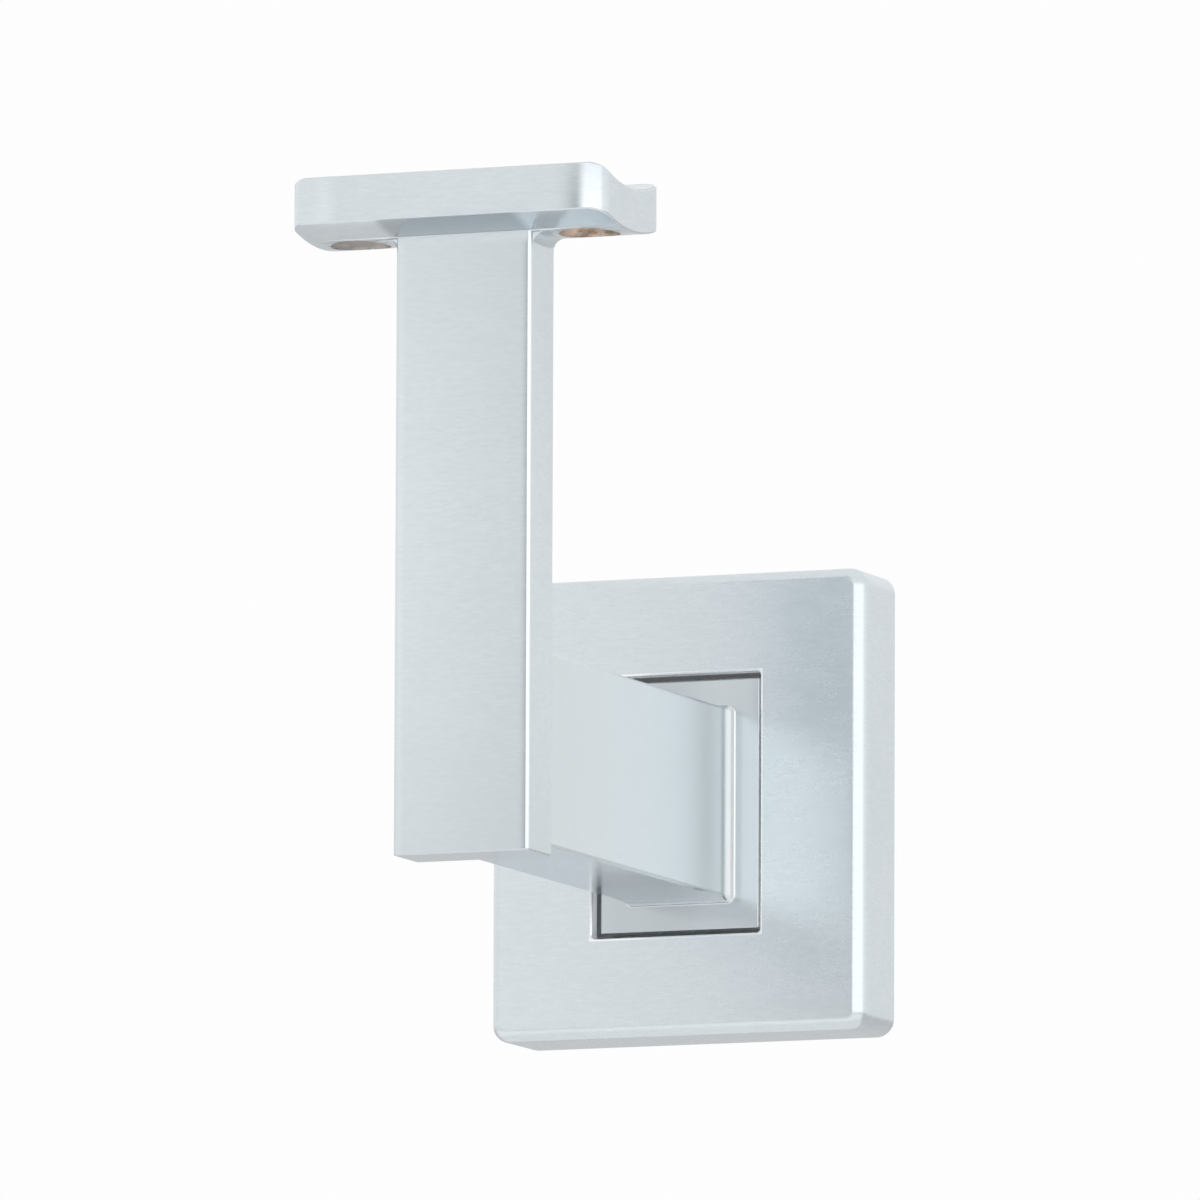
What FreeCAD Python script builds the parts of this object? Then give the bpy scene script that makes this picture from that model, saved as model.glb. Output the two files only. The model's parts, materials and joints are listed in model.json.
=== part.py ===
import FreeCAD, Part
import math
import os
import Sketcher
from FreeCAD import Placement, Rotation, Vector

# Handrail bracket, fixed to a wall. +X runs along the wall and the rail, +Y points into the wall,
# +Z is up, all in millimetres. The origin lies in the wall's plane, on the arm's axis.
# Four pieces: the post cast with its rail saddle, the arm cast with its wall flange,
# the hollow cover that slips over the flange, and the screw that joins the post to the arm.

SIZES = [
    ("cover_width", 55.0, "wall cover, along the wall"),
    ("cover_height", 63.5, "wall cover, up the wall"),
    ("cover_depth", 12.0, "wall cover, out from the wall"),
    ("cover_wall", 2.0, "front and side walls of the cover"),
    ("cover_corner_radius", 2.5, "upright corners of the cover"),
    ("cover_edge_radius", 1.7, "rounding of the cover's front edges"),
    ("cavity_corner_radius", 1.0, "inside corners of the cover"),
    ("cover_fit", 0.05, "push fit of the cover on the flange, each side"),
    ("window_clearance", 0.7, "gap between the boss and the cover's window, each side"),
    ("window_corner_radius", 0.6, "corners of the cover's window"),
    ("window_edge_radius", 0.35, "rounded rim of the cover's window"),
    ("flange_thickness", 5.0, "hidden wall flange"),
    ("wall_hole_spacing_across", 36.0, "wall screw holes, along X"),
    ("wall_hole_spacing_upright", 44.0, "wall screw holes, along Z"),
    ("wall_hole_diameter", 5.5, "wall screw holes"),
    ("wall_sink_diameter", 11.0, "countersinks of the wall screw holes"),
    ("boss_width", 23.4, "boss at the root of the arm, along X"),
    ("boss_height", 34.6, "boss at the root of the arm, along Z"),
    ("boss_recess", 1.5, "boss face behind the cover's front face"),
    ("boss_corner_radius", 0.3, "corners of the boss"),
    ("boss_edge_radius", 0.25, "rounded rim of the boss"),
    ("arm_width", 15.2, "arm, along X"),
    ("arm_height", 26.2, "arm, along Z"),
    ("arm_edge_radius", 0.5, "long edges of the arm"),
    ("root_spread", 0.2, "the arm widens towards its boss, each side"),
    ("root_length", 6.0, "length over which it widens"),
    ("foot_spread", 0.25, "and widens more at the end, each side"),
    ("foot_length", 2.2, "length of that last widening"),
    ("root_radius", 0.3, "fillet where the arm meets its boss"),
    ("seat_depth", 1.0, "recess in the post that takes the arm's end"),
    ("seat_clearance", 0.05, "arm's end in that recess, each side"),
    ("end_web", 11.0, "solid end of the arm under the screw's head"),
    ("post_width", 19.6, "post, along X"),
    ("post_depth", 8.4, "post, along Y"),
    ("post_margin", 2.0, "post reaches this far below the arm"),
    ("post_edge_radius", 0.5, "upright edges of the post"),
    ("rail_offset", 84.8, "wall to the middle of the post and the rail"),
    ("seat_height", 74.0, "arm's axis to the lowest line of the rail seat"),
    ("rail_seat_radius", 27.0, "hollow of the rail seat"),
    ("saddle_length", 45.4, "saddle, along the rail"),
    ("saddle_depth", 21.4, "saddle, across the rail"),
    ("saddle_thickness", 6.0, "saddle plate"),
    ("saddle_corner_radius", 2.6, "upright corners of the saddle"),
    ("flare_radius", 1.7, "fillet between the post and the saddle"),
    ("edge_break", 0.3, "broken edges of the saddle and of the post's foot"),
    ("rail_hole_spacing", 33.2, "rail screw holes"),
    ("rail_hole_diameter", 4.8, "rail screw holes"),
    ("rail_sink_diameter", 8.2, "countersinks of the rail screw holes"),
    ("screw_diameter", 6.0, "joining screw, thread"),
    ("screw_length", 16.0, "joining screw, under its head"),
    ("screw_head_diameter", 10.0, "joining screw, head"),
    ("screw_head_height", 6.0, "joining screw, head"),
    ("screw_head_break", 0.4, "joining screw, edge of the head"),
    ("socket_flats", 5.0, "joining screw, across the flats of its socket"),
    ("socket_depth", 3.0, "joining screw, socket"),
    ("head_clearance", 0.3, "screw's head in the bore inside the arm, each side"),
    ("shank_clearance", 0.3, "screw in the hole through the arm's end, each side"),
    ("thread_clearance", 0.1, "screw in its tapped hole, each side"),
    ("tapped_hole_run_out", 0.4, "tapped hole beyond the screw's tip"),
]

doc = FreeCAD.newDocument("handrail_bracket")
sheet = doc.addObject("Spreadsheet::Sheet", "Sizes")
for row, (alias, value, note) in enumerate(SIZES, start=1):
    sheet.set(f"A{row}", alias)
    sheet.set(f"B{row}", str(value))
    sheet.setAlias(f"B{row}", alias)
    sheet.set(f"C{row}", note)
doc.recompute()


def size(alias):
    return float(sheet.get(alias))


# ---- sketches -------------------------------------------------------------------------------

ORIGIN = -1
START, END, CENTRE = 1, 2, 3


def new_body(label):
    body = doc.addObject("PartDesign::Body", label)
    body.Label = label
    return body


def new_sketch(body, name, plane, offset="0"):
    """A sketch on one of the body's origin planes, moved along the plane's normal by offset."""
    sketch = body.newObject("Sketcher::SketchObject", name)
    support = [item for item in body.Origin.OriginFeatures if item.Role == plane][0]
    sketch.AttachmentSupport = [(support, "")]
    sketch.MapMode = "FlatFace"
    sketch.setExpression("AttachmentOffset.Base.z", offset)
    doc.recompute()
    return sketch


def drive(sketch, name, constraint, expression):
    """Adds a dimension and ties it to the spreadsheet."""
    index = sketch.addConstraint(constraint)
    sketch.renameConstraint(index, name)
    sketch.setExpression(f"Constraints.{name}", expression)


def line(sketch, start, end, construction=False):
    return sketch.addGeometry(Part.LineSegment(Vector(*start, 0), Vector(*end, 0)), construction)


def arc(sketch, centre, radius, first_deg, last_deg):
    circle = Part.Circle(Vector(*centre, 0), Vector(0, 0, 1), radius)
    return sketch.addGeometry(Part.ArcOfCircle(circle, math.radians(first_deg), math.radians(last_deg)))


def closed_outline(sketch, points):
    """A closed run of straight lines through the points, level and upright ones held so."""
    lines = [line(sketch, a, b) for a, b in zip(points, points[1:] + points[:1])]
    for this, following in zip(lines, lines[1:] + lines[:1]):
        sketch.addConstraint(Sketcher.Constraint("Coincident", this, END, following, START))
    for index, (a, b) in zip(lines, zip(points, points[1:] + points[:1])):
        if abs(a[1] - b[1]) < 1e-9:
            sketch.addConstraint(Sketcher.Constraint("Horizontal", index))
        elif abs(a[0] - b[0]) < 1e-9:
            sketch.addConstraint(Sketcher.Constraint("Vertical", index))
    return lines


def rounded_rectangle(sketch, width, height, radius):
    """A rectangle with round corners, centred on the sketch's origin. The sizes are expressions."""
    wide, tall, rounding = (sketch.evalExpression(text) for text in (width, height, radius))
    x, y = float(wide) / 2, float(tall) / 2
    r = float(rounding)
    top = line(sketch, (-x + r, y), (x - r, y))
    right = line(sketch, (x, y - r), (x, -y + r))
    bottom = line(sketch, (x - r, -y), (-x + r, -y))
    left = line(sketch, (-x, -y + r), (-x, y - r))
    top_right = arc(sketch, (x - r, y - r), r, 0, 90)
    bottom_right = arc(sketch, (x - r, -y + r), r, 270, 360)
    bottom_left = arc(sketch, (-x + r, -y + r), r, 180, 270)
    top_left = arc(sketch, (-x + r, y - r), r, 90, 180)
    for side, side_end, corner, corner_end in (
        (top, END, top_right, END),
        (right, START, top_right, START),
        (right, END, bottom_right, END),
        (bottom, START, bottom_right, START),
        (bottom, END, bottom_left, END),
        (left, START, bottom_left, START),
        (left, END, top_left, END),
        (top, START, top_left, START),
    ):
        sketch.addConstraint(Sketcher.Constraint("Tangent", side, side_end, corner, corner_end))
    for level in (top, bottom):
        sketch.addConstraint(Sketcher.Constraint("Horizontal", level))
    for upright in (left, right):
        sketch.addConstraint(Sketcher.Constraint("Vertical", upright))
    for corner in (bottom_right, bottom_left, top_left):
        sketch.addConstraint(Sketcher.Constraint("Equal", top_right, corner))
    middle = Sketcher.Constraint("Symmetric", top_right, CENTRE, bottom_left, CENTRE, ORIGIN, START)
    sketch.addConstraint(middle)
    drive(sketch, "radius", Sketcher.Constraint("Radius", top_right, r), radius)
    across = Sketcher.Constraint("DistanceX", left, START, right, END, 2 * x)
    drive(sketch, "width", across, width)
    upward = Sketcher.Constraint("DistanceY", bottom, START, top, END, 2 * y)
    drive(sketch, "height", upward, height)


def circle_at_origin(sketch, diameter):
    across = float(sketch.evalExpression(diameter))
    round_hole = sketch.addGeometry(Part.Circle(Vector(0, 0, 0), Vector(0, 0, 1), across / 2))
    sketch.addConstraint(Sketcher.Constraint("Coincident", round_hole, CENTRE, ORIGIN, START))
    drive(sketch, "diameter", Sketcher.Constraint("Diameter", round_hole, across), diameter)


# ---- features -------------------------------------------------------------------------------


def pad(body, sketch, name, length, midplane=False):
    feature = body.newObject("PartDesign::Pad", name)
    feature.Profile = sketch
    feature.Midplane = midplane
    feature.setExpression("Length", length)
    doc.recompute()
    return feature


def volume_before(feature):
    return feature.BaseFeature.Shape.Volume


def must_cut(feature):
    """A cut that misses the solid shows no error, so its volume is compared with its base."""
    if feature.Shape.Volume > volume_before(feature) - 0.1:
        raise RuntimeError(f"{feature.Name} cuts nothing")


def pocket(body, sketch, name, depth=None, away=False):
    """Cuts against the sketch's normal, or along it where away is true. No depth is right through."""
    feature = body.newObject("PartDesign::Pocket", name)
    feature.Profile = sketch
    feature.Reversed = away
    if depth is None:
        feature.Type = "ThroughAll"
    else:
        feature.setExpression("Length", depth)
    doc.recompute()
    must_cut(feature)
    return feature


def edges_where(feature, test):
    edges = enumerate(feature.Shape.Edges, start=1)
    return [f"Edge{number}" for number, edge in edges if test(edge)]


def fillet(body, base, name, radius, test):
    feature = body.newObject("PartDesign::Fillet", name)
    feature.Base = (base, edges_where(base, test))
    feature.setExpression("Radius", radius)
    doc.recompute()
    return feature


def chamfer(body, base, name, width, test, length=None):
    """Bevels edges. With a length it is that long on one face and width wide on the other."""
    feature = body.newObject("PartDesign::Chamfer", name)
    feature.Base = (base, edges_where(base, test))
    feature.setExpression("Size", width)
    if length is not None:
        feature.ChamferType = "Two distances"
        feature.setExpression("Size2", length)
    doc.recompute()
    return feature


def near(a, b):
    return abs(a - b) < 1e-4


def upright(edge):
    box = edge.BoundBox
    return box.XLength < 1e-4 and box.YLength < 1e-4 and box.ZLength > 1e-3


def in_plane_y(edge, y):
    box = edge.BoundBox
    return near(box.YMin, y) and near(box.YMax, y)


# ---- post and saddle ------------------------------------------------------------------------
# One casting. Its own origin is on the arm's axis, midway through the post's depth.

POST_LENGTH = (
    "Sizes.seat_height - Sizes.saddle_thickness / 2 + Sizes.arm_height / 2 + Sizes.post_margin"
)
POST_FOOT = "-(Sizes.arm_height / 2 + Sizes.post_margin)"


def saddle_section(body):
    """A plate bent to the rail's round: two arcs about one centre, with upright front and back."""
    sketch = new_sketch(body, "saddle_section", "YZ_Plane")
    inner = size("rail_seat_radius")
    outer = inner + size("saddle_thickness")
    half = size("saddle_depth") / 2
    centre = (0, size("seat_height") + inner)
    spread_in = math.degrees(math.asin(half / inner))
    spread_out = math.degrees(math.asin(half / outer))
    seat = arc(sketch, centre, inner, 270 - spread_in, 270 + spread_in)
    underside = arc(sketch, centre, outer, 270 - spread_out, 270 + spread_out)

    def end_of(radius, side):
        return (side * half, centre[1] - math.sqrt(radius**2 - half**2))

    front = line(sketch, end_of(inner, -1), end_of(outer, -1))
    back = line(sketch, end_of(outer, 1), end_of(inner, 1))
    for this, this_end, other, other_end in (
        (seat, START, front, START),
        (front, END, underside, START),
        (underside, END, back, START),
        (back, END, seat, END),
    ):
        sketch.addConstraint(Sketcher.Constraint("Coincident", this, this_end, other, other_end))
    sketch.addConstraint(Sketcher.Constraint("Coincident", seat, CENTRE, underside, CENTRE))
    sketch.addConstraint(Sketcher.Constraint("Vertical", front))
    sketch.addConstraint(Sketcher.Constraint("Vertical", back))
    sketch.addConstraint(Sketcher.Constraint("PointOnObject", seat, CENTRE, -2))
    sketch.addConstraint(Sketcher.Constraint("Symmetric", seat, START, seat, END, -2))
    drive(sketch, "seat_radius", Sketcher.Constraint("Radius", seat, inner), "Sizes.rail_seat_radius")
    drive(
        sketch,
        "underside_radius",
        Sketcher.Constraint("Radius", underside, outer),
        "Sizes.rail_seat_radius + Sizes.saddle_thickness",
    )
    drive(
        sketch,
        "depth",
        Sketcher.Constraint("DistanceX", seat, START, seat, END, 2 * half),
        "Sizes.saddle_depth",
    )
    drive(
        sketch,
        "centre_height",
        Sketcher.Constraint("DistanceY", ORIGIN, START, seat, CENTRE, centre[1]),
        "Sizes.seat_height + Sizes.rail_seat_radius",
    )
    return sketch


def post_plan(body, name, front_expression, front_radius_expression):
    """Plan of the post from a front line back to its rear face, all in one upright run."""
    sketch = new_sketch(body, name, "XY_Plane", POST_FOOT)
    half = size("post_width") / 2
    back = size("post_depth") / 2
    front = float(sketch.evalExpression(front_expression))
    rear_radius = size("post_edge_radius")
    front_radius = float(sketch.evalExpression(front_radius_expression))
    rear_line = line(sketch, (half - rear_radius, back), (-half + rear_radius, back))
    left = line(sketch, (-half, back - rear_radius), (-half, front + front_radius))
    front_line = line(sketch, (-half + front_radius, front), (half - front_radius, front))
    right = line(sketch, (half, front + front_radius), (half, back - rear_radius))
    rear_left = arc(sketch, (-half + rear_radius, back - rear_radius), rear_radius, 90, 180)
    rear_right = arc(sketch, (half - rear_radius, back - rear_radius), rear_radius, 0, 90)
    joints = [
        (rear_line, END, rear_left, START),
        (left, START, rear_left, END),
        (right, END, rear_right, START),
        (rear_line, START, rear_right, END),
    ]
    corners = [rear_left]
    if front_radius > 0:
        front_left = arc(sketch, (-half + front_radius, front + front_radius), front_radius, 180, 270)
        front_right = arc(sketch, (half - front_radius, front + front_radius), front_radius, 270, 360)
        joints += [
            (left, END, front_left, START),
            (front_line, START, front_left, END),
            (front_line, END, front_right, START),
            (right, START, front_right, END),
        ]
        corners += [front_left, front_right]
    else:
        for this, following in ((left, front_line), (front_line, right)):
            sketch.addConstraint(Sketcher.Constraint("Coincident", this, END, following, START))
    for joint in joints:
        sketch.addConstraint(Sketcher.Constraint("Tangent", *joint))
    for corner in corners:
        sketch.addConstraint(Sketcher.Constraint("Equal", rear_right, corner))
    sketch.addConstraint(Sketcher.Constraint("Horizontal", front_line))
    for side in (left, right):
        sketch.addConstraint(Sketcher.Constraint("Vertical", side))
    sketch.addConstraint(Sketcher.Constraint("Symmetric", rear_line, START, rear_line, END, -2))
    drive(
        sketch,
        "corner_radius",
        Sketcher.Constraint("Radius", rear_right, rear_radius),
        "Sizes.post_edge_radius",
    )
    drive(
        sketch,
        "width",
        Sketcher.Constraint("DistanceX", left, START, right, END, 2 * half),
        "Sizes.post_width",
    )
    drive(
        sketch,
        "rear",
        Sketcher.Constraint("DistanceY", ORIGIN, START, rear_line, START, back),
        "Sizes.post_depth / 2",
    )
    drive(
        sketch,
        "front",
        Sketcher.Constraint("DistanceY", ORIGIN, START, front_line, START, front),
        front_expression,
    )
    return sketch


def rail_screw_hole(body):
    """Half section of one countersunk hole, its cone opening downwards under the saddle."""
    sketch = new_sketch(body, "rail_hole_section", "XZ_Plane")
    along = size("rail_hole_spacing") / 2
    hole = size("rail_hole_diameter") / 2
    sink = size("rail_sink_diameter") / 2
    outer = size("rail_seat_radius") + size("saddle_thickness")
    lowest = size("seat_height") - size("saddle_thickness")
    rim = lowest + outer - math.sqrt(outer**2 - sink**2)
    below = lowest - size("saddle_thickness")
    above = size("seat_height") + size("saddle_thickness")
    points = [
        (along, below),
        (along + sink, below),
        (along + sink, rim),
        (along + hole, rim + sink - hole),
        (along + hole, above),
        (along, above),
    ]
    foot, wall, cone, shaft, lid, axis = closed_outline(sketch, points)
    place = "Sizes.rail_hole_spacing / 2"
    reach = "(Sizes.rail_seat_radius + Sizes.saddle_thickness)"
    rim_rule = (
        f"Sizes.seat_height - Sizes.saddle_thickness + {reach}"
        f" - sqrt({reach} * {reach} - Sizes.rail_sink_diameter * Sizes.rail_sink_diameter / 4)"
    )
    drive(sketch, "place", Sketcher.Constraint("DistanceX", ORIGIN, START, axis, END, along), place)
    drive(
        sketch,
        "sink_radius",
        Sketcher.Constraint("DistanceX", foot, START, foot, END, sink),
        "Sizes.rail_sink_diameter / 2",
    )
    drive(
        sketch,
        "hole_radius",
        Sketcher.Constraint("DistanceX", lid, END, lid, START, hole),
        "Sizes.rail_hole_diameter / 2",
    )
    drive(
        sketch,
        "foot",
        Sketcher.Constraint("DistanceY", ORIGIN, START, foot, START, below),
        "Sizes.seat_height - 2 * Sizes.saddle_thickness",
    )
    drive(
        sketch,
        "rim",
        Sketcher.Constraint("DistanceY", ORIGIN, START, wall, END, rim),
        rim_rule,
    )
    drive(
        sketch,
        "cone_height",
        Sketcher.Constraint("DistanceY", cone, START, cone, END, sink - hole),
        "(Sizes.rail_sink_diameter - Sizes.rail_hole_diameter) / 2",
    )
    drive(
        sketch,
        "lid",
        Sketcher.Constraint("DistanceY", ORIGIN, START, shaft, END, above),
        "Sizes.seat_height + Sizes.saddle_thickness",
    )
    spin = line(sketch, (along, below), (along, above), construction=True)
    sketch.addConstraint(Sketcher.Constraint("Coincident", spin, START, axis, END))
    sketch.addConstraint(Sketcher.Constraint("Coincident", spin, END, axis, START))
    groove = body.newObject("PartDesign::Groove", "rail_hole")
    groove.Profile = sketch
    groove.ReferenceAxis = (sketch, ["Axis0"])
    groove.Angle = 360
    doc.recompute()
    must_cut(groove)
    mirrored = body.newObject("PartDesign::Mirrored", "rail_holes")
    mirrored.Originals = [groove]
    side_plane = [item for item in body.Origin.OriginFeatures if item.Role == "YZ_Plane"][0]
    mirrored.MirrorPlane = (side_plane, [""])
    body.Tip = mirrored
    doc.recompute()
    must_cut(mirrored)
    return mirrored


def make_post():
    body = new_body("post_with_saddle")
    half_post = size("post_width") / 2
    rear = size("post_depth") / 2
    half_length = size("saddle_length") / 2
    half_depth = size("saddle_depth") / 2
    foot = -(size("arm_height") / 2 + size("post_margin"))

    plate = pad(body, saddle_section(body), "saddle_plate", "Sizes.saddle_length", midplane=True)
    plate = fillet(body, plate, "saddle_corners", "Sizes.saddle_corner_radius", upright)

    # The post stands clear of its own front edges here, so that the fillet under the saddle
    # runs round its sides and back and stops short of the flat front.
    set_back = "-Sizes.post_depth / 2 + Sizes.post_edge_radius * 1.2"
    core = pad(body, post_plan(body, "post_core_plan", set_back, "0"), "post_core", POST_LENGTH)
    front_of_core = -rear + size("post_edge_radius") * 1.2

    def under_saddle(edge):
        box = edge.BoundBox
        within = abs(box.XMin) < half_post + 1e-3 and abs(box.XMax) < half_post + 1e-3
        beside = box.YMin > front_of_core - 1e-3 and box.YMax < rear + 1e-3
        along_front = in_plane_y(edge, front_of_core)
        high = box.ZMin > foot + 1 and box.ZLength < size("saddle_thickness") / 2
        clear_of_foot = box.ZMin > size("seat_height") - 1.5 * size("saddle_thickness")
        return within and beside and high and clear_of_foot and not along_front

    core = fillet(body, core, "flare", "Sizes.flare_radius", under_saddle)
    face = post_plan(body, "post_front_plan", "-Sizes.post_depth / 2", "Sizes.post_edge_radius")
    post = pad(body, face, "post_front", POST_LENGTH)

    def rim_of_saddle(edge):
        box = edge.BoundBox
        outside = abs(box.YMin + box.YMax) / 2 > half_depth - 1e-3
        ends = abs(box.XMin + box.XMax) / 2 > half_length - 1e-3
        corner = box.XLength > 1 and box.YLength > 1 and box.Center.Length > 0
        corner = corner and abs(box.Center.x) > half_length - size("saddle_corner_radius")
        flat = not upright(edge)
        return flat and box.ZMin > size("seat_height") - 2 * size("saddle_thickness") and (
            outside or ends or corner
        )

    def seat_rim(edge):
        return rim_of_saddle(edge) and edge.BoundBox.ZMin > size("seat_height") - 1e-3

    def lower_rim(edge):
        return rim_of_saddle(edge) and not seat_rim(edge)

    post = fillet(body, post, "lower_rim", "Sizes.edge_break", lower_rim)
    post = chamfer(body, post, "seat_rim", "Sizes.edge_break", seat_rim)

    def round_foot(edge):
        box = edge.BoundBox
        return near(box.ZMin, foot) and near(box.ZMax, foot)

    post = fillet(body, post, "foot_edge", "Sizes.edge_break", round_foot)

    seat = new_sketch(body, "arm_seat_outline", "XZ_Plane", "-Sizes.post_depth / 2")
    rounded_rectangle(
        seat,
        "Sizes.arm_width + 2 * Sizes.seat_clearance",
        "Sizes.arm_height + 2 * Sizes.seat_clearance",
        "Sizes.arm_edge_radius + Sizes.seat_clearance",
    )
    pocket(body, seat, "arm_seat", "Sizes.seat_depth", away=True)
    tap = new_sketch(body, "tapped_hole_outline", "XZ_Plane", "-Sizes.post_depth / 2")
    circle_at_origin(tap, "Sizes.screw_diameter + 2 * Sizes.thread_clearance")
    reach = "Sizes.seat_depth + Sizes.screw_length - Sizes.end_web + Sizes.tapped_hole_run_out"
    pocket(body, tap, "tapped_hole", reach, away=True)
    rail_screw_hole(body)
    body.setExpression("Placement.Base.y", "-Sizes.rail_offset")
    return body


# ---- arm, boss and wall flange --------------------------------------------------------------
# One casting, standing out from the wall's plane.

BOSS_FACE = "Sizes.cover_depth - Sizes.boss_recess"
ARM_LENGTH = "Sizes.rail_offset - Sizes.post_depth / 2 + Sizes.seat_depth"
FLANGE_WIDTH = "Sizes.cover_width - 2 * Sizes.cover_wall - 2 * Sizes.cover_fit"
FLANGE_HEIGHT = "Sizes.cover_height - 2 * Sizes.cover_wall - 2 * Sizes.cover_fit"


def wall_screw_holes(body):
    sketch = new_sketch(body, "wall_hole_outlines", "XZ_Plane", "Sizes.flange_thickness")
    across = size("wall_hole_spacing_across") / 2
    upward = size("wall_hole_spacing_upright") / 2
    radius = size("wall_hole_diameter") / 2
    holes = []
    for side in (1, -1):
        for level in (1, -1):
            round_hole = Part.Circle(Vector(side * across, level * upward, 0), Vector(0, 0, 1), radius)
            holes.append(sketch.addGeometry(round_hole))
    top_right, low_right, top_left, low_left = holes
    for hole in holes[1:]:
        sketch.addConstraint(Sketcher.Constraint("Equal", top_right, hole))
    sketch.addConstraint(Sketcher.Constraint("Symmetric", top_right, CENTRE, top_left, CENTRE, -2))
    sketch.addConstraint(Sketcher.Constraint("Symmetric", low_right, CENTRE, low_left, CENTRE, -2))
    sketch.addConstraint(Sketcher.Constraint("Symmetric", top_right, CENTRE, low_right, CENTRE, -1))
    drive(
        sketch,
        "across",
        Sketcher.Constraint("DistanceX", top_left, CENTRE, top_right, CENTRE, 2 * across),
        "Sizes.wall_hole_spacing_across",
    )
    drive(
        sketch,
        "upward",
        Sketcher.Constraint("DistanceY", low_right, CENTRE, top_right, CENTRE, 2 * upward),
        "Sizes.wall_hole_spacing_upright",
    )
    diameter = Sketcher.Constraint("Diameter", top_right, 2 * radius)
    drive(sketch, "diameter", diameter, "Sizes.wall_hole_diameter")
    drilled = pocket(body, sketch, "wall_holes", "Sizes.flange_thickness + 1")

    def front_rim(edge):
        is_circle = edge.Curve.TypeId == "Part::GeomCircle" and near(edge.Curve.Radius, radius)
        return is_circle and in_plane_y(edge, -size("flange_thickness"))

    sink_width = "(Sizes.wall_sink_diameter - Sizes.wall_hole_diameter) / 2"
    return chamfer(body, drilled, "wall_countersinks", sink_width, front_rim)


def make_arm():
    body = new_body("arm_with_flange")
    boss_face = -(size("cover_depth") - size("boss_recess"))

    outline = new_sketch(body, "flange_outline", "XZ_Plane")
    rounded_rectangle(outline, FLANGE_WIDTH, FLANGE_HEIGHT, "Sizes.cavity_corner_radius - Sizes.cover_fit")
    pad(body, outline, "flange", "Sizes.flange_thickness")
    outline = new_sketch(body, "boss_outline", "XZ_Plane")
    rounded_rectangle(outline, "Sizes.boss_width", "Sizes.boss_height", "Sizes.boss_corner_radius")
    boss = pad(body, outline, "boss", BOSS_FACE)

    def boss_rim(edge):
        return in_plane_y(edge, boss_face)

    fillet(body, boss, "boss_edge", "Sizes.boss_edge_radius", boss_rim)
    outline = new_sketch(body, "arm_outline", "XZ_Plane")
    rounded_rectangle(outline, "Sizes.arm_width", "Sizes.arm_height", "Sizes.arm_edge_radius")
    arm = pad(body, outline, "arm", ARM_LENGTH)

    def foot_of_arm(reached):
        """Picks the edges round the foot of the arm, reached so far beyond the arm's own sides."""
        half_width = size("arm_width") / 2 + reached + 1e-3
        half_height = size("arm_height") / 2 + reached + 1e-3

        def test(edge):
            box = edge.BoundBox
            across = max(-box.XMin, box.XMax) < half_width
            return across and max(-box.ZMin, box.ZMax) < half_height and in_plane_y(edge, boss_face)

        return test

    # The arm's sides spread towards the boss in two slight steps and end in a small fillet.
    root = chamfer(body, arm, "root", "Sizes.root_spread", foot_of_arm(0), "Sizes.root_length")
    reached = size("root_spread")
    at_foot = foot_of_arm(reached)
    foot = chamfer(body, root, "foot", "Sizes.foot_spread", at_foot, "Sizes.foot_length")
    reached = reached + size("foot_spread")
    fillet(body, foot, "foot_fillet", "Sizes.root_radius", foot_of_arm(reached))
    bore = new_sketch(body, "core_outline", "XZ_Plane")
    circle_at_origin(bore, "Sizes.screw_head_diameter + 2 * Sizes.head_clearance")
    pocket(body, bore, "core", f"{ARM_LENGTH} - Sizes.end_web", away=True)
    hole = new_sketch(body, "screw_hole_outline", "XZ_Plane")
    circle_at_origin(hole, "Sizes.screw_diameter + 2 * Sizes.shank_clearance")
    pocket(body, hole, "screw_hole", f"{ARM_LENGTH} + 1", away=True)
    wall_screw_holes(body)
    return body


# ---- wall cover -----------------------------------------------------------------------------


def make_cover():
    body = new_body("wall_cover")
    front = -size("cover_depth")
    outline = new_sketch(body, "cover_outline", "XZ_Plane")
    rounded_rectangle(outline, "Sizes.cover_width", "Sizes.cover_height", "Sizes.cover_corner_radius")
    block = pad(body, outline, "cover_block", "Sizes.cover_depth")
    fillet(body, block, "front_edges", "Sizes.cover_edge_radius", lambda edge: in_plane_y(edge, front))
    cavity = new_sketch(body, "cavity_outline", "XZ_Plane")
    rounded_rectangle(
        cavity,
        "Sizes.cover_width - 2 * Sizes.cover_wall",
        "Sizes.cover_height - 2 * Sizes.cover_wall",
        "Sizes.cavity_corner_radius",
    )
    pocket(body, cavity, "cavity", "Sizes.cover_depth - Sizes.cover_wall", away=True)
    window = new_sketch(body, "window_outline", "XZ_Plane")
    rounded_rectangle(
        window,
        "Sizes.boss_width + 2 * Sizes.window_clearance",
        "Sizes.boss_height + 2 * Sizes.window_clearance",
        "Sizes.window_corner_radius",
    )
    opened = pocket(body, window, "window", "Sizes.cover_depth + 1", away=True)
    half_window = size("boss_width") / 2 + size("window_clearance")

    def window_rim(edge):
        box = edge.BoundBox
        return in_plane_y(edge, front) and max(-box.XMin, box.XMax) < half_window + 1e-3

    fillet(body, opened, "window_edge", "Sizes.window_edge_radius", window_rim)
    return body


# ---- joining screw --------------------------------------------------------------------------
# Its own origin is under the head, on the axis, with the thread pointing towards -Y.


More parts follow.
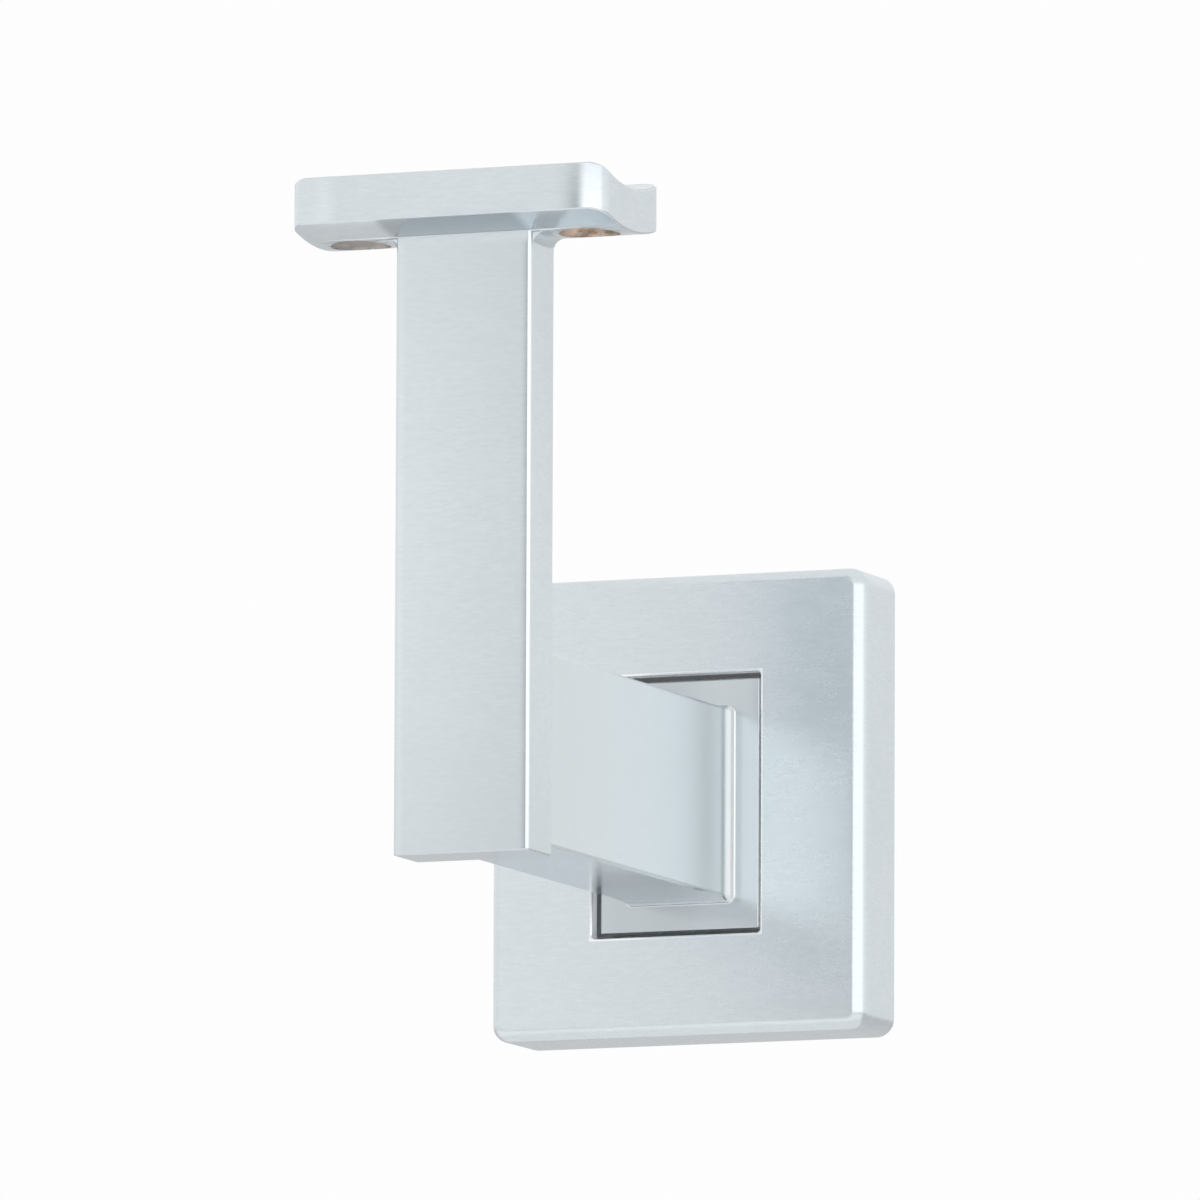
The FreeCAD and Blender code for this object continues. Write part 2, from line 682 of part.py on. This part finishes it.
def make_screw():
    body = new_body("joint_screw")
    radius = size("screw_diameter") / 2
    head = size("screw_head_diameter") / 2
    sketch = new_sketch(body, "screw_section", "XY_Plane")
    points = [
        (0, -size("screw_length")),
        (radius, -size("screw_length")),
        (radius, 0),
        (head, 0),
        (head, size("screw_head_height")),
        (0, size("screw_head_height")),
    ]
    tip, thread, under_head, side, top, axis = closed_outline(sketch, points)
    sketch.addConstraint(Sketcher.Constraint("PointOnObject", axis, END, -2))
    sketch.addConstraint(Sketcher.Constraint("PointOnObject", thread, END, -1))
    drive(
        sketch,
        "thread_radius",
        Sketcher.Constraint("DistanceX", tip, START, tip, END, radius),
        "Sizes.screw_diameter / 2",
    )
    drive(
        sketch,
        "head_radius",
        Sketcher.Constraint("DistanceX", top, END, top, START, head),
        "Sizes.screw_head_diameter / 2",
    )
    drive(
        sketch,
        "head_height",
        Sketcher.Constraint("DistanceY", side, START, side, END, size("screw_head_height")),
        "Sizes.screw_head_height",
    )
    drive(
        sketch,
        "length",
        Sketcher.Constraint("DistanceY", thread, START, thread, END, size("screw_length")),
        "Sizes.screw_length",
    )
    turned = body.newObject("PartDesign::Revolution", "screw_blank")
    turned.Profile = sketch
    turned.ReferenceAxis = (sketch, ["V_Axis"])
    turned.Angle = 360
    doc.recompute()

    def head_rim(edge):
        return in_plane_y(edge, size("screw_head_height"))

    chamfer(body, turned, "head_edge", "Sizes.screw_head_break", head_rim)
    socket = new_sketch(body, "socket_outline", "XZ_Plane", "-Sizes.screw_head_height")
    corner = size("socket_flats") / math.sqrt(3)
    sides = 6
    corners = [
        (corner * math.cos(math.radians(60 * n)), corner * math.sin(math.radians(60 * n)))
        for n in range(sides)
    ]
    flats = [line(socket, a, b) for a, b in zip(corners, corners[1:] + corners[:1])]
    guide = Part.Circle(Vector(0, 0, 0), Vector(0, 0, 1), corner)
    guide = socket.addGeometry(guide, True)
    socket.addConstraint(Sketcher.Constraint("Coincident", guide, CENTRE, ORIGIN, START))
    for this, following in zip(flats, flats[1:] + flats[:1]):
        socket.addConstraint(Sketcher.Constraint("Coincident", this, END, following, START))
        socket.addConstraint(Sketcher.Constraint("PointOnObject", this, START, guide))
    for other in flats[1:]:
        socket.addConstraint(Sketcher.Constraint("Equal", flats[0], other))
    socket.addConstraint(Sketcher.Constraint("Horizontal", flats[1]))
    drive(
        socket,
        "across_corners",
        Sketcher.Constraint("Diameter", guide, 2 * corner),
        "2 * Sizes.socket_flats / sqrt(3)",
    )
    pocket(body, socket, "socket", "Sizes.socket_depth", away=True)
    body.setExpression("Placement.Base.y", f"-({ARM_LENGTH}) + Sizes.end_web")
    return body


pieces = [make_post(), make_arm(), make_cover(), make_screw()]
doc.recompute()

for item in doc.Objects:
    if {"Invalid", "Error"} & set(item.State):
        raise RuntimeError(f"{item.Name} failed: {item.State}")
for piece in pieces:
    if piece.Shape.isNull() or not piece.Shape.isValid():
        raise RuntimeError(f"{piece.Label} has no valid shape")

os.makedirs("parts", exist_ok=True)
for piece in pieces:
    piece.Shape.exportStep(f"parts/{piece.Label}.step")
    print(piece.Label, len(piece.Shape.Solids), round(piece.Shape.Volume, 1), "mm3")
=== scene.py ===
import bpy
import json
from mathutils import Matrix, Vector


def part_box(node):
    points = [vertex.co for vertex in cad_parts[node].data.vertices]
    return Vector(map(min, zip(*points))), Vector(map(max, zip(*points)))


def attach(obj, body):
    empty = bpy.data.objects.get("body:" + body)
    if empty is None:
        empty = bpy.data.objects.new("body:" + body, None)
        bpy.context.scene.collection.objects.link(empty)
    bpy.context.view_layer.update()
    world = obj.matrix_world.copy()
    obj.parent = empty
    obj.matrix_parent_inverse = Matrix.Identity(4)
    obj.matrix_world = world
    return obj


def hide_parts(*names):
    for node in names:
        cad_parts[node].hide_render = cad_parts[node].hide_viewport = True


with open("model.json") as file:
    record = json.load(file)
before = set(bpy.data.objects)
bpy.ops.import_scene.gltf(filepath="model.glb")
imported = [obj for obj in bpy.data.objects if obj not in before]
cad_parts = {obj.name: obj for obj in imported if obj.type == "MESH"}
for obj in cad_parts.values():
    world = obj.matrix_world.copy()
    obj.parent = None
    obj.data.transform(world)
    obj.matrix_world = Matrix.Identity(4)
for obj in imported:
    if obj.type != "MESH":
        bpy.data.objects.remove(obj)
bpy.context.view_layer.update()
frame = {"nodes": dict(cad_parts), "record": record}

import json
import math

import bmesh
import bpy
from mathutils import Matrix, Vector

# A handrail bracket of plated brass, hung in plain soft light. Everything is in metres, in the
# CAD's own frame: +X along the wall, +Y into the wall, +Z up.

MM = 0.001


# ---- the pieces' own places -----------------------------------------------------------------


class Extent:
    """The box of a CAD node: its low corner and half sizes."""

    def __init__(self, node):
        low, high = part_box(node)
        self.low = Vector(low)
        self.half = (Vector(high) - self.low) / 2


POST = Extent("post_with_saddle")
COVER = Extent("wall_cover")

MOUNTS = {mount["name"]: mount for mount in frame["record"]["mounts"]}
RAIL_SEAT = Vector(MOUNTS["rail_seat"]["pos_m"])
RAIL_HOLE_SPACING = MOUNTS["rail_screws"]["dims"]["spacing_x_mm"] * MM
RAIL_SINK_RADIUS = 4.1 * MM
SADDLE_THICKNESS = 6.0 * MM
SADDLE_CORNER = 2.6 * MM
FLARE_RADIUS = 1.7 * MM
FLARE_LOW = RAIL_SEAT.z - SADDLE_THICKNESS - FLARE_RADIUS
POST_HALF_WIDTH = 9.8 * MM
POST_DEPTH = 8.4 * MM
POST_EDGE = 0.5 * MM
POST_FRONT = RAIL_SEAT.y - POST_DEPTH / 2
BOSS_HALF_WIDTH = 11.7 * MM
BOSS_HALF_HEIGHT = 17.3 * MM
BOSS_SET_BACK = 1.5 * MM
BOSS_FRONT = COVER.low.y + BOSS_SET_BACK
WINDOW_HALF_WIDTH = 12.4 * MM
WINDOW_HALF_HEIGHT = 18.0 * MM


# ---- shader maths ---------------------------------------------------------------------------


class Value:
    """A number that varies over a surface. Python's arithmetic on it adds Math nodes."""

    def __init__(self, tree, socket):
        self.tree = tree
        self.socket = socket

    def math(self, operation, *others, **settings):
        inputs = dict(enumerate([self, *others]))
        settings = {"operation": operation, **settings}
        return add_node(self.tree, "ShaderNodeMath", settings, inputs)[0]

    def __add__(self, other):
        return self.math("ADD", other)

    __radd__ = __add__

    def __mul__(self, other):
        return self.math("MULTIPLY", other)

    __rmul__ = __mul__

    def __sub__(self, other):
        return self.math("SUBTRACT", other)

    def __rsub__(self, other):
        return -self + other

    def __truediv__(self, other):
        return self.math("DIVIDE", other)

    def __pow__(self, other):
        return self.math("POWER", other)

    def __neg__(self):
        return self * -1

    def __abs__(self):
        return self.math("ABSOLUTE")

    def rising(self, start, end):
        """0 up to start and 1 from end on, smooth between. With an end below start it falls."""
        settings = {"interpolation_type": "SMOOTHSTEP"}
        inputs = {"Value": self, "From Min": start, "From Max": end}
        return add_node(self.tree, "ShaderNodeMapRange", settings, inputs)["Result"]


class Outputs:
    """The outputs of a node, by name or place, each wrapped as a Value."""

    def __init__(self, tree, node):
        self.tree = tree
        self.node = node

    def __getitem__(self, key):
        return Value(self.tree, self.node.outputs[key])


def add_node(tree, kind, settings=None, inputs=None):
    """Adds any node. Settings are its properties, or a ramp's stops, and inputs the values or
    links of its sockets."""
    node = tree.nodes.new(kind)
    for name, setting in (settings or {}).items():
        if name == "stops":
            set_stops(node.color_ramp, setting)
        else:
            setattr(node, name, setting)
    for key, given in (inputs or {}).items():
        if isinstance(given, Value):
            tree.links.new(given.socket, node.inputs[key])
        else:
            node.inputs[key].default_value = given
    return Outputs(tree, node)


def set_stops(ramp, stops):
    """Gives a ramp its stops, pairs of a place and a grey, eased from one to the next."""
    ramp.interpolation = "EASE"
    while len(ramp.elements) < len(stops):
        ramp.elements.new(0.5)
    for stop, (place, grey) in zip(ramp.elements, stops):
        stop.position = place
        stop.color = (grey, grey, grey, 1)


def vector_math(tree, operation, *inputs):
    return add_node(tree, "ShaderNodeVectorMath", {"operation": operation}, dict(enumerate(inputs)))


def mixed_colour(tree, share, first, second):
    # A Mix node has a set of sockets for each kind of data: 0 is the factor, 6 and 7 the colours.
    inputs = {0: share, 6: first, 7: second}
    return add_node(tree, "ShaderNodeMix", {"data_type": "RGBA"}, inputs)[2]


def combined(tree, x, y, z):
    return add_node(tree, "ShaderNodeCombineXYZ", None, {0: x, 1: y, 2: z})[0]


def noise(tree, place, scale, detail=2.0, roughness=0.5, stretch=(1, 1, 1), offset=(0, 0, 0)):
    """Smooth noise between 0 and 1. The stretch and offset set its scale along each axis."""
    inputs = {"Vector": place, "Scale": stretch, "Location": offset}
    mapped = add_node(tree, "ShaderNodeMapping", None, inputs)
    settings = {"noise_dimensions": "3D"}
    inputs = {"Vector": mapped[0], "Scale": scale, "Detail": detail, "Roughness": roughness}
    return add_node(tree, "ShaderNodeTexNoise", settings, inputs)["Fac"]


def new_material(name):
    """An empty material, and its node tree."""
    material = bpy.data.materials.new(name)
    material.use_nodes = True
    material.node_tree.nodes.clear()
    return material, material.node_tree


def surface(tree, **inputs):
    """The Principled surface of a material. Its sockets are named in lower case."""
    sockets = {name.replace("_", " ").title(): given for name, given in inputs.items()}
    shader = add_node(tree, "ShaderNodeBsdfPrincipled", None, sockets)
    add_node(tree, "ShaderNodeOutputMaterial", None, {"Surface": shader["BSDF"]})


# ---- finishes -------------------------------------------------------------------------------

CHROME_DULL = (0.655, 0.71, 0.745, 1)
CHROME_BRIGHT = (0.71, 0.763, 0.795, 1)
# Painted light: near-white chrome, put on the window's rim as a painted highlight and in the recess
# as painted light.
CHROME_PAINTED_LIGHT = (0.94, 0.95, 0.96, 1)
# Painted highlight on the arm's sides.
CHROME_PAINTED_HIGHLIGHT = (0.745, 0.785, 0.79, 1)
# Painted shade: greyer chrome on the post's top and bottom and on the boss's face.
CHROME_PAINTED_SHADE = (0.60, 0.645, 0.675, 1)
# Painted shade: darker chrome on the left of the boss's face.
CHROME_PAINTED_DARK_SHADE = (0.50, 0.54, 0.565, 1)
# Painted shade in the crease under the saddle, just in front of the post.
CHROME_PAINTED_CREASE_SHADE = (0.43, 0.47, 0.50, 1)
BRASS = (0.25, 0.19, 0.15, 1)
BRASS_WORN = (0.62, 0.47, 0.37, 1)
TARNISH = (0.36, 0.35, 0.34, 1)
STEEL = (0.42, 0.42, 0.43, 1)
STEEL_BRIGHT = (0.5, 0.5, 0.51, 1)


def place_and_normal(tree):
    place = add_node(tree, "ShaderNodeTexCoord")["Object"]
    normal = add_node(tree, "ShaderNodeNewGeometry")["Normal"]
    return place, normal


def xyz(tree, vector):
    parts = add_node(tree, "ShaderNodeSeparateXYZ", None, {0: vector})
    return parts[0], parts[1], parts[2]


def share_of(along, start, reach):
    """0 up to the start and 1 one reach further on, in a straight line."""
    return ((along - start) / reach).math("MINIMUM", 1.0).math("MAXIMUM", 0.0)


def rounded_front(along, half, gentle, edge, reach):
    """How far a front leans outwards along one axis: a little everywhere, more near its edges."""
    outer = share_of(abs(along), half - reach, reach)
    return along / half * gentle + along.math("SIGN") * outer * outer * edge


def rounded_side(y, front, reach, lean):
    """How far a side leans forwards, fading out over the reach behind its front edge."""
    left = 1 - share_of(y, front, reach)
    return left * -lean


def polished_normal(tree, normal, lean_x, lean_y, lean_z):
    """Leans fronts along X and Z, and sides along Y."""
    nx, ny, _ = xyz(tree, normal)
    faces_front = abs(ny)
    lean = combined(tree, lean_x * faces_front, lean_y * abs(nx), lean_z * faces_front)
    return vector_math(tree, "NORMALIZE", vector_math(tree, "ADD", normal, lean)[0])[0]


def satin_chrome(tree, place, normal, tints=(), duller=0.0, painted_light_matte=0.0):
    """Satin chrome over brass, brushed level. Each tint is a share and the colour it brings,
    some of them painted highlights and painted shade; duller is added to the roughness, and the
    last share takes metal away where a pale colour is painted in as light."""
    brushing = noise(tree, place, 4500, 2, 0.6, (0.16, 0.16, 1))
    streaks = noise(tree, place, 2000, 3, 0.6, (0.22, 0.22, 1), (5, 2, 9))
    mottle = noise(tree, place, 420, 4, 0.65, (0.5, 0.5, 1), (3, 5, 7))
    cloud = noise(tree, place, 45, 2, 0.5, (1, 1, 1), (13, 1, 5))
    tone = (brushing * 0.3 + streaks * 0.3 + mottle * 0.2 + cloud * 0.2).rising(0.36, 0.64)
    colour = mixed_colour(tree, tone, CHROME_DULL, CHROME_BRIGHT)
    for share, tint in tints:
        colour = mixed_colour(tree, share, colour, tint)
    rough = 0.13 + mottle * 0.1 + cloud * 0.04 + duller
    inputs = {
        "Strength": 0.25,
        "Distance": 0.02 * MM,
        "Height": brushing * 0.25 + streaks * 0.4 + mottle * 0.7,
        "Normal": normal,
    }
    bump = add_node(tree, "ShaderNodeBump", None, inputs)[0]
    surface(tree, base_color=colour, metallic=1 - painted_light_matte, roughness=rough, normal=bump)


MID_WALL = 1.0 * MM
FADE = 0.1 * MM


def in_the_recess(tree, place, normal):
    """1 inside the cover and its window, but 0 on the boss's face, the outside and the back."""
    x, y, z = xyz(tree, place)
    _, facing, _ = xyz(tree, normal)
    within_x = abs(x).rising(COVER.half.x - MID_WALL + FADE, COVER.half.x - MID_WALL - FADE)
    within_z = abs(z).rising(COVER.half.z - MID_WALL + FADE, COVER.half.z - MID_WALL - FADE)
    behind = (y - COVER.low.y).rising(0.3 * MM, 0.7 * MM) * y.rising(-1 * MM, -2 * MM)
    at_boss_front = y.rising(BOSS_FRONT + 0.4 * MM, BOSS_FRONT + 0.2 * MM)
    boss_face = at_boss_front * abs(facing).rising(0.3, 0.6)
    return within_x * within_z * behind * (1 - boss_face)


def post_leans(x, y, z, saddle):
    """How far the post's and the saddle's polished faces lean, along X and along Y."""
    post_flat = POST_HALF_WIDTH - POST_EDGE
    saddle_flat = POST.half.x - SADDLE_CORNER
    post_front = rounded_front(x, post_flat, gentle=0.02, edge=0.1, reach=1.2 * MM)
    saddle_front = rounded_front(x, saddle_flat, gentle=0.0, edge=0.25, reach=5 * MM)
    upper = share_of(z, start=10 * MM, reach=40 * MM)
    upper_side = rounded_side(y, POST_FRONT, reach=POST_DEPTH, lean=0.06)
    post_side = upper_side * upper - (1 - upper) * 0.08
    saddle_side = rounded_side(y, POST.low.y + SADDLE_CORNER, reach=5.5 * MM, lean=0.02)
    lean_x = post_front * (1 - saddle) + saddle_front * saddle
    lean_y = post_side * (1 - saddle) + saddle_side * saddle
    return lean_x, lean_y


def rail_hole_brass(tree, place, normal):
    """Where the countersunk rail holes are bare of plating, and the colour there. The left hole
    is the more tarnished one."""
    x, y, _ = xyz(tree, place)
    along = abs(x) - RAIL_HOLE_SPACING / 2
    across = y - RAIL_SEAT.y
    away = (along * along + across * across).math("SQRT")
    on_a_wall = abs(xyz(tree, normal)[2]).rising(0.95, 0.88)
    inside = away.rising(RAIL_SINK_RADIUS + 0.15 * MM, RAIL_SINK_RADIUS) * on_a_wall
    worn = noise(tree, place, 260, 3, 0.6, (1, 1, 2)).rising(0.42, 0.62)
    brass = mixed_colour(tree, worn, BRASS, BRASS_WORN)
    left = x.rising(1 * MM, -1 * MM)
    return inside, mixed_colour(tree, left * 0.75, brass, TARNISH)


def post_finish():
    material, tree = new_material("post_satin_chrome")
    place, normal = place_and_normal(tree)
    x, y, z = xyz(tree, place)
    saddle = z.rising(FLARE_LOW, FLARE_LOW + 1.5 * MM)
    lean_x, lean_y = post_leans(x, y, z, saddle)
    shaped = polished_normal(tree, normal, lean_x, lean_y, 0.0)
    inside, brass = rail_hole_brass(tree, place, normal)
    # Painted shade: the post is greyer towards its top and bottom.
    ends_painted_shade = (abs(z - 30 * MM) / (45 * MM)) ** 2
    # Painted shade: the saddle's underside just in front of the post is darkened, where the crease
    # is shaded.
    over_post = abs(x).rising(11 * MM, 9 * MM) * y.rising(POST_FRONT + POST_EDGE, POST_FRONT)
    crease_painted_shade = over_post * saddle * xyz(tree, normal)[2].rising(-0.3, -0.7)
    tints = [(ends_painted_shade * (1 - saddle) * 0.5, CHROME_PAINTED_SHADE), (crease_painted_shade, CHROME_PAINTED_CREASE_SHADE), (inside, brass)]
    satin_chrome(tree, place, shaped, tints, duller=inside * 0.15)
    return material


ROOT_REACH = 4.8 * MM
ROOT_LEAN = 2.3


def arm_finish():
    material, tree = new_material("arm_satin_chrome")
    place, normal = place_and_normal(tree)
    x, y, z = xyz(tree, place)
    lean_x = rounded_front(x, BOSS_HALF_WIDTH, gentle=0.02, edge=0.03, reach=2 * MM)
    lean_z = rounded_front(z, BOSS_HALF_HEIGHT, gentle=0.01, edge=0.02, reach=2 * MM)
    root = share_of(y, BOSS_FRONT - ROOT_REACH, ROOT_REACH)
    before_boss = y.rising(BOSS_FRONT + 0.05 * MM, BOSS_FRONT)
    lean_y = root * root * before_boss * -ROOT_LEAN
    shaped = polished_normal(tree, normal, lean_x, lean_y, lean_z)
    nx, ny, _ = xyz(tree, normal)
    # Painted highlight: the arm's sides are made paler, standing in for their reflection.
    side = abs(nx).rising(0.6, 0.9) * y.rising(BOSS_FRONT, BOSS_FRONT - 0.5 * MM)
    # Painted shade: the boss's face is greyer than the arm.
    face = abs(ny).rising(0.8, 0.95)
    # Painted light: the recess inside the cover is made pale and partly matte, so it reads lighter
    # than its shade.
    recess_painted_light = in_the_recess(tree, place, normal)
    tints = [
        (side * 0.7, CHROME_PAINTED_HIGHLIGHT),
        (face * 0.8, CHROME_PAINTED_SHADE),
        # Painted shade: the boss's face is darker still towards its left, under the arm.
        (face * x.rising(6 * MM, -2 * MM) * 0.7, CHROME_PAINTED_DARK_SHADE),
        (recess_painted_light, CHROME_PAINTED_LIGHT),
    ]
    duller = side * 0.16 + root * side * 0.1 + recess_painted_light * 0.4
    satin_chrome(tree, place, shaped, tints, duller, painted_light_matte=recess_painted_light * 0.7)
    return material


def cover_finish():
    material, tree = new_material("cover_satin_chrome")
    place, normal = place_and_normal(tree)
    x, y, z = xyz(tree, place)
    lean_x = rounded_front(x, COVER.half.x, gentle=0.05, edge=0.06, reach=3.5 * MM)
    lean_y = rounded_side(y, COVER.low.y + 1.5 * MM, reach=2.5 * MM, lean=0.08)
    lean_z = rounded_front(z, COVER.half.z, gentle=0.01, edge=0.03, reach=4 * MM)
    shaped = polished_normal(tree, normal, lean_x, lean_y, lean_z)
    beyond_x = (abs(x) - WINDOW_HALF_WIDTH).math("MAXIMUM", 0.0)
    beyond_z = (abs(z) - WINDOW_HALF_HEIGHT).math("MAXIMUM", 0.0)
    from_window = beyond_x.math("MAXIMUM", beyond_z)
    # Painted highlight: a near-white line along the window's front edge. Painted light: the recess
    # is made pale and partly matte.
    rim_painted_highlight = from_window.rising(0.4 * MM, 0.3 * MM) * (y - COVER.low.y).rising(0.5 * MM, 0.3 * MM)
    recess_painted_light = in_the_recess(tree, place, normal)
    tints = [(rim_painted_highlight, CHROME_PAINTED_LIGHT), (recess_painted_light, CHROME_PAINTED_LIGHT)]
    satin_chrome(tree, place, shaped, tints, duller=0.07 + recess_painted_light * 0.4, painted_light_matte=recess_painted_light * 0.7)
    return material


def screw_finish():
    """Plain bright steel."""
    material, tree = new_material("screw_steel")
    place, _ = place_and_normal(tree)
    grain = noise(tree, place, 700, 3)
    colour = mixed_colour(tree, grain, STEEL, STEEL_BRIGHT)
    surface(tree, base_color=colour, metallic=1.0, roughness=0.3 + grain * 0.15)
    return material


# ---- pieces ---------------------------------------------------------------------------------

SHARP_ANGLE = math.radians(35)
FLAT_ANGLE = math.radians(0.2)
SQUARE = 0.99999


def is_flat(face):
    """Whether a face lies on one of the piece's upright or level flats, not on the rail's seat."""
    upright = abs(face.normal.x) > SQUARE or abs(face.normal.y) > SQUARE
    on_the_saddle = face.calc_center_median().z > FLARE_LOW
    return upright or (abs(face.normal.z) > SQUARE and not on_the_saddle)


def joined_up(mesh):
    """Merges a mesh's loose triangles, and makes each flat one face.

    A whole flat outweighs the fillets beside it, so it shades flat right up to them."""
    shell = bmesh.new()
    shell.from_mesh(mesh)
    bmesh.ops.remove_doubles(shell, verts=shell.verts, dist=0.002 * MM)
    inner = [
        edge
        for edge in shell.edges
        if len(edge.link_faces) == 2
        and all(is_flat(face) for face in edge.link_faces)
        and edge.calc_face_angle() < FLAT_ANGLE
    ]
    bmesh.ops.dissolve_limit(shell, angle_limit=FLAT_ANGLE, verts=[], edges=inner)
    shell.to_mesh(mesh)
    shell.free()


def finished(node, name, material):
    """Puts in a copy of a CAD node that shades smoothly through its fillets, with its finish."""
    mesh = frame["nodes"][node].data.copy()
    mesh.name = name
    joined_up(mesh)
    mesh.shade_smooth()
    mesh.set_sharp_from_angle(angle=SHARP_ANGLE)
    piece = bpy.data.objects.new(name, mesh)
    bpy.context.scene.collection.objects.link(piece)
    weighted = piece.modifiers.new("even_shading", "WEIGHTED_NORMAL")
    weighted.mode = "FACE_AREA"
    weighted.weight = 100
    weighted.keep_sharp = True
    settle(piece)
    piece.data.materials.clear()
    piece.data.materials.append(material)
    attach(piece, "root")
    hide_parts(node)


def settle(piece):
    """Turns the piece's modifiers into its own mesh."""
    ready = piece.evaluated_get(bpy.context.evaluated_depsgraph_get())
    mesh = bpy.data.meshes.new_from_object(ready)
    old = piece.data
    piece.modifiers.clear()
    piece.data = mesh
    bpy.data.meshes.remove(old)


finished("post_with_saddle", "post_with_saddle_finished", post_finish())
finished("arm_with_flange", "arm_with_flange_finished", arm_finish())
finished("wall_cover", "wall_cover_finished", cover_finish())
finished("joint_screw", "joint_screw_finished", screw_finish())


# ---- studio ---------------------------------------------------------------------------------

CAMERA_AZIMUTH = math.radians(22.1133)
CAMERA_ELEVATION = math.radians(-7.4343)
CAMERA_ROLL = math.radians(-0.2326)
CAMERA_DISTANCE = 2.67279
CAMERA_ASIDE = -0.014898
CAMERA_RAISED = 0.029543
FIELD_WIDTH = 36.0
LENS = 582.66


def place_camera():
    level = math.cos(CAMERA_ELEVATION)
    across, ahead = math.sin(CAMERA_AZIMUTH), math.cos(CAMERA_AZIMUTH)
    sight = Vector((-across * level, ahead * level, -math.sin(CAMERA_ELEVATION)))
    aside = Vector((ahead, across, 0))
    upward = aside.cross(sight)
    turn = Matrix.Rotation(CAMERA_ROLL, 3, sight)
    data = bpy.data.cameras.new("camera")
    data.sensor_width = FIELD_WIDTH
    data.lens = LENS
    data.clip_start = 0.05
    data.clip_end = 100
    camera = bpy.data.objects.new("camera", data)
    bpy.context.scene.collection.objects.link(camera)
    right, top = turn @ aside, turn @ upward
    spot = -sight * CAMERA_DISTANCE + right * CAMERA_ASIDE + top * CAMERA_RAISED
    axes = Matrix((right, top, -sight)).transposed().to_4x4()
    camera.matrix_world = Matrix.Translation(spot) @ axes
    bpy.context.scene.camera = camera


FLOOR_HEIGHT = -0.42
FLOOR_RADIUS = 0.48
FLOOR_WHITE = (0.96, 0.96, 0.96, 1)


def lay_floor():
    bpy.ops.mesh.primitive_circle_add(
        vertices=96, radius=FLOOR_RADIUS, fill_type="NGON", location=(0, 0, FLOOR_HEIGHT)
    )
    floor = bpy.context.object
    floor.name = "floor"
    material, tree = new_material("pale_floor")
    surface(tree, base_color=FLOOR_WHITE, roughness=0.9)
    floor.data.materials.append(material)


# Brightness of the surroundings by direction, as pairs of degrees and brightness. They go
# anticlockwise seen from above, from behind the bracket: a broad panel on the left, a gap in
# front, a brighter panel on the right and plain white behind.
PANELS = [
    (-180, 0.9),
    (-120, 1.0),
    (-60, 0.98),
    (-42, 1.0),
    (-28, 1.1),
    (-20, 0.91),
    (-13, 0.72),
    (-9, 0.5),
    (-3, 0.45),
    (4, 1.6),
    (80, 1.6),
    (102, 1.1),
    (140, 1.0),
    (158, 0.88),
    (180, 0.9),
]
PANEL_FULL = 1.6
# Brightness below the horizon: looking a little down, and steeply down.
BELOW_IN_FRONT = (0.82, 1.06)
BELOW_BEHIND = (0.64, 0.7)
ABOVE = 0.97
BACKGROUND = 0.985


def between(share, pair):
    """From the pair's second value, at a share of 0, to its first, at 1."""
    first, second = pair
    return share * (first - second) + second


def light_studio():
    world = bpy.data.worlds.new("studio")
    bpy.context.scene.world = world
    world.use_nodes = True
    tree = world.node_tree
    tree.nodes.clear()
    direction = add_node(tree, "ShaderNodeTexCoord")["Generated"]
    x, y, z = xyz(tree, direction)
    turn = x.math("ARCTAN2", -y) / (2 * math.pi) + 0.5
    stops = [((angle + 180) / 360, bright / PANEL_FULL) for angle, bright in PANELS]
    around = add_node(tree, "ShaderNodeValToRGB", {"stops": stops}, {0: turn})[0] * PANEL_FULL
    high = z.rising(0.19, 0.25)
    low = z.rising(0.0, -0.08)
    level = around * (1 - high) + ABOVE * high
    behind = y.rising(-0.1, 0.35)
    in_front = between(z.rising(-0.3, -0.14), BELOW_IN_FRONT)
    at_back = between(z.rising(-0.5, -0.2), BELOW_BEHIND)
    below = in_front * (1 - behind) + at_back * behind
    level = level * (1 - low) + below * low
    seen = add_node(tree, "ShaderNodeLightPath")["Is Camera Ray"]
    level = level * (1 - seen) + BACKGROUND * seen
    light = add_node(tree, "ShaderNodeBackground", None, {"Color": (1, 1, 1, 1), "Strength": level})
    add_node(tree, "ShaderNodeOutputWorld", None, {"Surface": light[0]})


place_camera()
lay_floor()
light_studio()
bpy.context.scene.view_settings.view_transform = "Standard"
